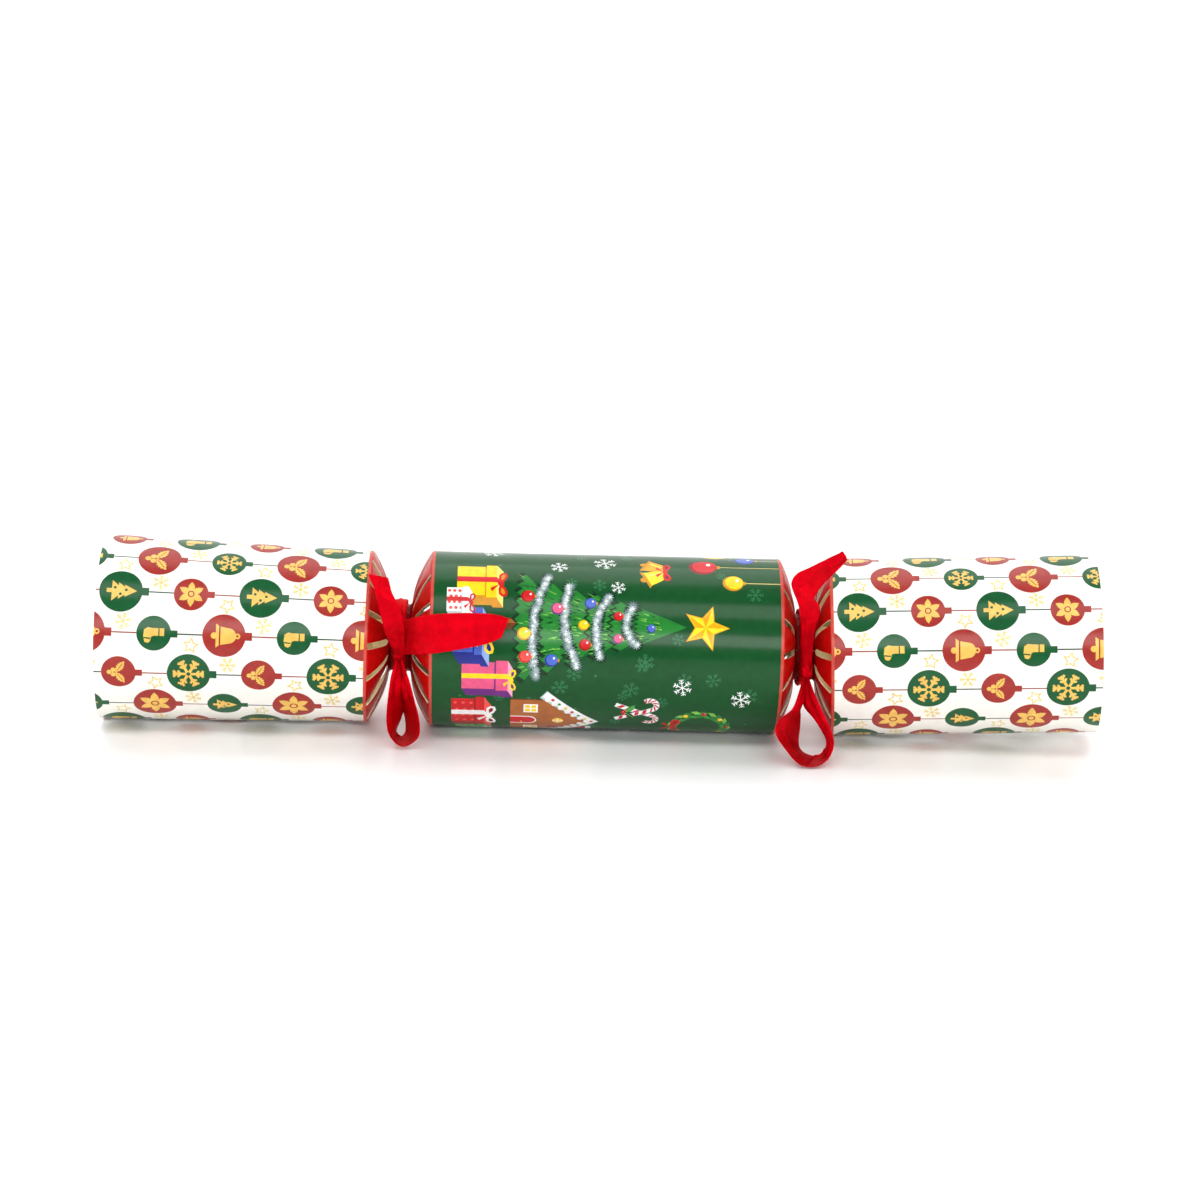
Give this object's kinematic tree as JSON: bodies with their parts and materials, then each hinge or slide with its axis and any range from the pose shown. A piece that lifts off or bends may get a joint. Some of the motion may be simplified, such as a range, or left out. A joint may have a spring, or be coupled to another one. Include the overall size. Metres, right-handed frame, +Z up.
{
  "type": "christmas cracker",
  "caption": "Rolled card party cracker with slit tied chokes, ribbon bows, pull-out snap and hidden paper crown, motto and gift.",
  "frame": {"origin": "on the table under the middle of the centre tube", "axes": "+X along the centre tube towards the right-hand end, +Z up, -Y towards the side that shows the knots"},
  "size_m": [0.3086, 0.071, 0.0632],
  "materials": {
    "barrel_card": "gloss coated",
    "choke_card": "gloss coated",
    "end_card": "gloss coated",
    "ribbon": "satin",
    "snap_card": "uncoated",
    "snap_paper": "uncoated",
    "snap_grit": "rough",
    "tissue": "tissue",
    "motto_paper": "uncoated",
    "top_plastic": "gloss",
    "spindle_plastic": "gloss"
  },
  "bodies": {
    "centre": {"centre_tube": "barrel_card", "left_inner_strips": "choke_card", "right_inner_strips": "choke_card", "left_ribbon_wrap": "ribbon", "left_ribbon_knot": "ribbon", "left_ribbon_loop": "ribbon", "left_ribbon_long_tail": "ribbon", "left_ribbon_short_tail": "ribbon", "right_ribbon_wrap": "ribbon", "right_ribbon_knot": "ribbon", "right_ribbon_loop": "ribbon", "right_ribbon_tail": "ribbon"},
    "left_snap": {"left_snap_strip": "snap_card", "snap_sleeve": "snap_paper", "snap_charge": "snap_grit"},
    "left_end": {"left_end_tube": "end_card", "left_outer_strips": "choke_card"},
    "right_snap": {"right_snap_strip": "snap_card", "snap_grit": "snap_grit"},
    "right_end": {"right_end_tube": "end_card", "right_outer_strips": "choke_card"},
    "crown": {"paper_crown": "tissue", "motto_slip": "motto_paper"},
    "gift_top": {"top_disc": "top_plastic", "top_spindle": "spindle_plastic"}
  },
  "joints": [
    {"name": "left_pull", "type": "slide", "parent": "centre", "child": "left_snap", "axis": [-1, 0, 0], "range_m": [0, 0.1]},
    {"name": "left_bend", "type": "hinge", "parent": "left_snap", "child": "left_end", "pos_m": [-0.0631, 0, 0.0272], "axis": [0, 0, 1], "range_deg": [-10, 10], "deforming": ["left_outer_strips", "left_inner_strips"]},
    {"name": "right_pull", "type": "slide", "parent": "centre", "child": "right_snap", "axis": [1, 0, 0], "range_m": [0, 0.1]},
    {"name": "right_bend", "type": "hinge", "parent": "right_snap", "child": "right_end", "pos_m": [0.06175, 0, 0.0272], "axis": [0, 0, 1], "range_deg": [-7, 14], "deforming": ["right_outer_strips", "right_inner_strips"]},
    {"name": "crown_slide", "type": "slide", "parent": "centre", "child": "crown", "axis": [1, 0, 0], "range_m": [-0.006, 0.005]},
    {"name": "top_slide", "type": "slide", "parent": "centre", "child": "gift_top", "axis": [1, 0, 0], "range_m": [-0.006, 0.007]}
  ]
}
